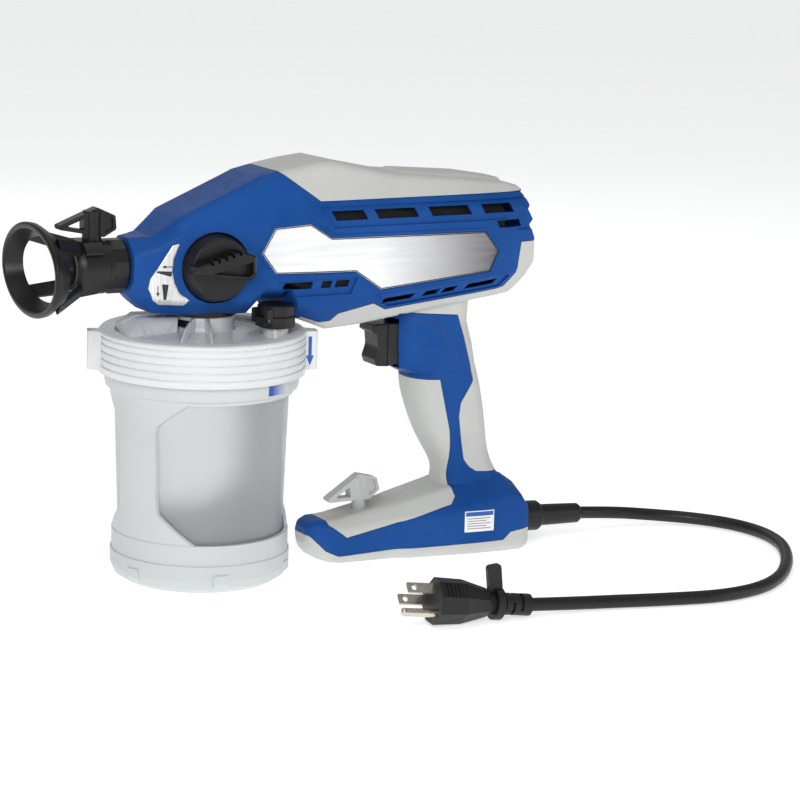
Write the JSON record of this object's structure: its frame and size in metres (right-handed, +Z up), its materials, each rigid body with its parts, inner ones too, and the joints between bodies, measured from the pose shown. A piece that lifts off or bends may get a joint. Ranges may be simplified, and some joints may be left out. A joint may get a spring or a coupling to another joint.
{
  "type": "handheld airless paint sprayer",
  "caption": "Corded handheld airless paint sprayer with tip guard, prime knob, trigger handle, flat base, cup with locking collar and flexible liner, and a mains cord with plug.",
  "frame": {"origin": "centre of the cup's foot, on the surface that the cup and the handle's base stand on", "axes": "+X to the rear (the tool sprays towards -X), +Z up, -Y towards the prime knob's side"},
  "size_m": [0.4722, 0.2406, 0.2443],
  "materials": {
    "blue_shell": "satin",
    "grey_shell": "satin",
    "badge": "satin",
    "label": "satin",
    "paper_label": "satin",
    "black_plastic": "satin",
    "seal_metal": "satin",
    "steel": "machined",
    "carbide_barrel": "machined",
    "grey_tip": "satin",
    "pump_alloy": "cast",
    "motor_steel": "satin",
    "copper_core": "wound",
    "white_nylon": "satin",
    "board": "satin",
    "gear_steel": "machined",
    "support_plastic": "satin",
    "liner_film": "satin",
    "lid_plastic": "satin",
    "collar_plastic": "satin",
    "cord_rubber": "matt",
    "prong_metal": "bright",
    "black_rubber": "matt"
  },
  "bodies": {
    "housing": {"left_shell": "blue_shell", "right_shell": "blue_shell", "top_cover": "grey_shell", "rear_grip": "grey_shell", "front_grip": "grey_shell", "base_skid": "grey_shell", "left_badge": "badge", "right_badge": "badge", "mode_label": "label", "rating_label": "paper_label", "outlet_tube": "steel", "pump_block": "pump_alloy", "cylinder_sleeve": "steel", "sleeve_nut": "steel", "cup_adapter": "black_plastic", "inlet_valve_seat": "steel", "front_bulkhead": "motor_steel", "motor_can": "motor_steel", "motor_bearings": "steel", "gear_plate": "motor_steel", "control_board": "board", "trigger_switch": "black_plastic", "wire_harness": "cord_rubber", "strain_relief": "cord_rubber", "power_cord": "cord_rubber", "plug_body": "black_rubber", "plug_prongs": "prong_metal", "plug_strap": "black_rubber", "shell_screws": "steel"},
    "knob": {"prime_knob": "black_plastic", "prime_valve_stem": "steel"},
    "rotor": {"motor_shaft": "steel", "armature": "copper_core", "cooling_fan": "black_plastic", "pinion": "gear_steel"},
    "gear": {"drive_gear": "white_nylon", "gear_shaft": "steel", "swash_plate": "gear_steel"},
    "piston": {"pump_piston": "steel", "piston_spring": "steel"},
    "ball": {"inlet_ball": "steel"},
    "trigger_body": {"trigger": "black_plastic", "trigger_spring": "steel"},
    "nut": {"guard_nut": "black_plastic"},
    "guard": {"tip_guard": "black_plastic", "tip_seal": "seal_metal"},
    "tip": {"spray_tip": "black_plastic", "tip_barrel": "carbide_barrel"},
    "spare": {"spare_tip": "grey_tip", "spare_barrel": "carbide_barrel"},
    "lid": {"cup_lid": "lid_plastic", "lid_gasket": "black_rubber", "inlet_strainer": "white_nylon", "vent_fitting": "black_plastic", "vent_pin": "steel"},
    "cap": {"vent_cap": "black_plastic"},
    "collar": {"locking_collar": "collar_plastic"},
    "cup": {"cup_support": "support_plastic", "cup_liner": "liner_film"}
  },
  "joints": [
    {"name": "knob_turn", "type": "hinge", "parent": "housing", "child": "knob", "pos_m": [-0.005, -0.03, 0.186], "axis": [0, -1, 0], "range_deg": [0, 90]},
    {"name": "motor_spin", "type": "hinge", "parent": "housing", "child": "rotor", "pos_m": [0.12, 0, 0.18], "axis": [1, 0, 0], "continuous": true},
    {"name": "gear_spin", "type": "hinge", "parent": "housing", "child": "gear", "pos_m": [0.087, 0, 0.2008], "axis": [1, 0, 0], "continuous": true},
    {"name": "piston_stroke", "type": "slide", "parent": "housing", "child": "piston", "axis": [1, 0, 0], "range_m": [0, 0.002], "stiffness_N_per_m": 1500, "springref_m": 0.006, "deforming": ["piston_spring"]},
    {"name": "inlet_ball_lift", "type": "slide", "parent": "housing", "child": "ball", "axis": [0, 0, 1], "range_m": [0, 0.002]},
    {"name": "trigger_pull", "type": "slide", "parent": "housing", "child": "trigger_body", "axis": [1, 0, 0], "range_m": [0, 0.004], "stiffness_N_per_m": 800, "springref_m": -0.003, "deforming": ["trigger_spring"]},
    {"name": "nut_turn", "type": "hinge", "parent": "housing", "child": "nut", "pos_m": [-0.058, 0, 0.186], "axis": [1, 0, 0], "continuous": true},
    {"name": "guard_turn", "type": "hinge", "parent": "housing", "child": "guard", "pos_m": [-0.07, 0, 0.186], "axis": [1, 0, 0], "range_deg": [-90, 90]},
    {"name": "tip_turn", "type": "hinge", "parent": "guard", "child": "tip", "pos_m": [-0.07, 0, 0.186], "axis": [0, 0, 1], "range_deg": [0, 180]},
    {"name": "spare_lift", "type": "slide", "parent": "housing", "child": "spare", "axis": [-0.1908, 0, 0.9816], "range_m": [0, 0.03]},
    {"name": "lid_twist", "type": "hinge", "parent": "housing", "child": "lid", "pos_m": [0, 0, 0.15], "axis": [0, 0, 1], "range_deg": [-40, 0]},
    {"name": "cap_flip", "type": "hinge", "parent": "lid", "child": "cap", "pos_m": [0.02204, -0.03167, 0.1554], "axis": [0.342, -0.9397, 0], "range_deg": [0, 5]},
    {"name": "collar_turn", "type": "hinge", "parent": "lid", "child": "collar", "pos_m": [0, 0, 0.135], "axis": [0, 0, 1], "range_deg": [0, 45]},
    {"name": "cup_drop", "type": "slide", "parent": "lid", "child": "cup", "axis": [0, 0, 1], "range_m": [-0.12, 0]}
  ],
  "couplings": [
    {"joint": "gear_spin", "follows": "motor_spin", "ratio": -0.3}
  ]
}
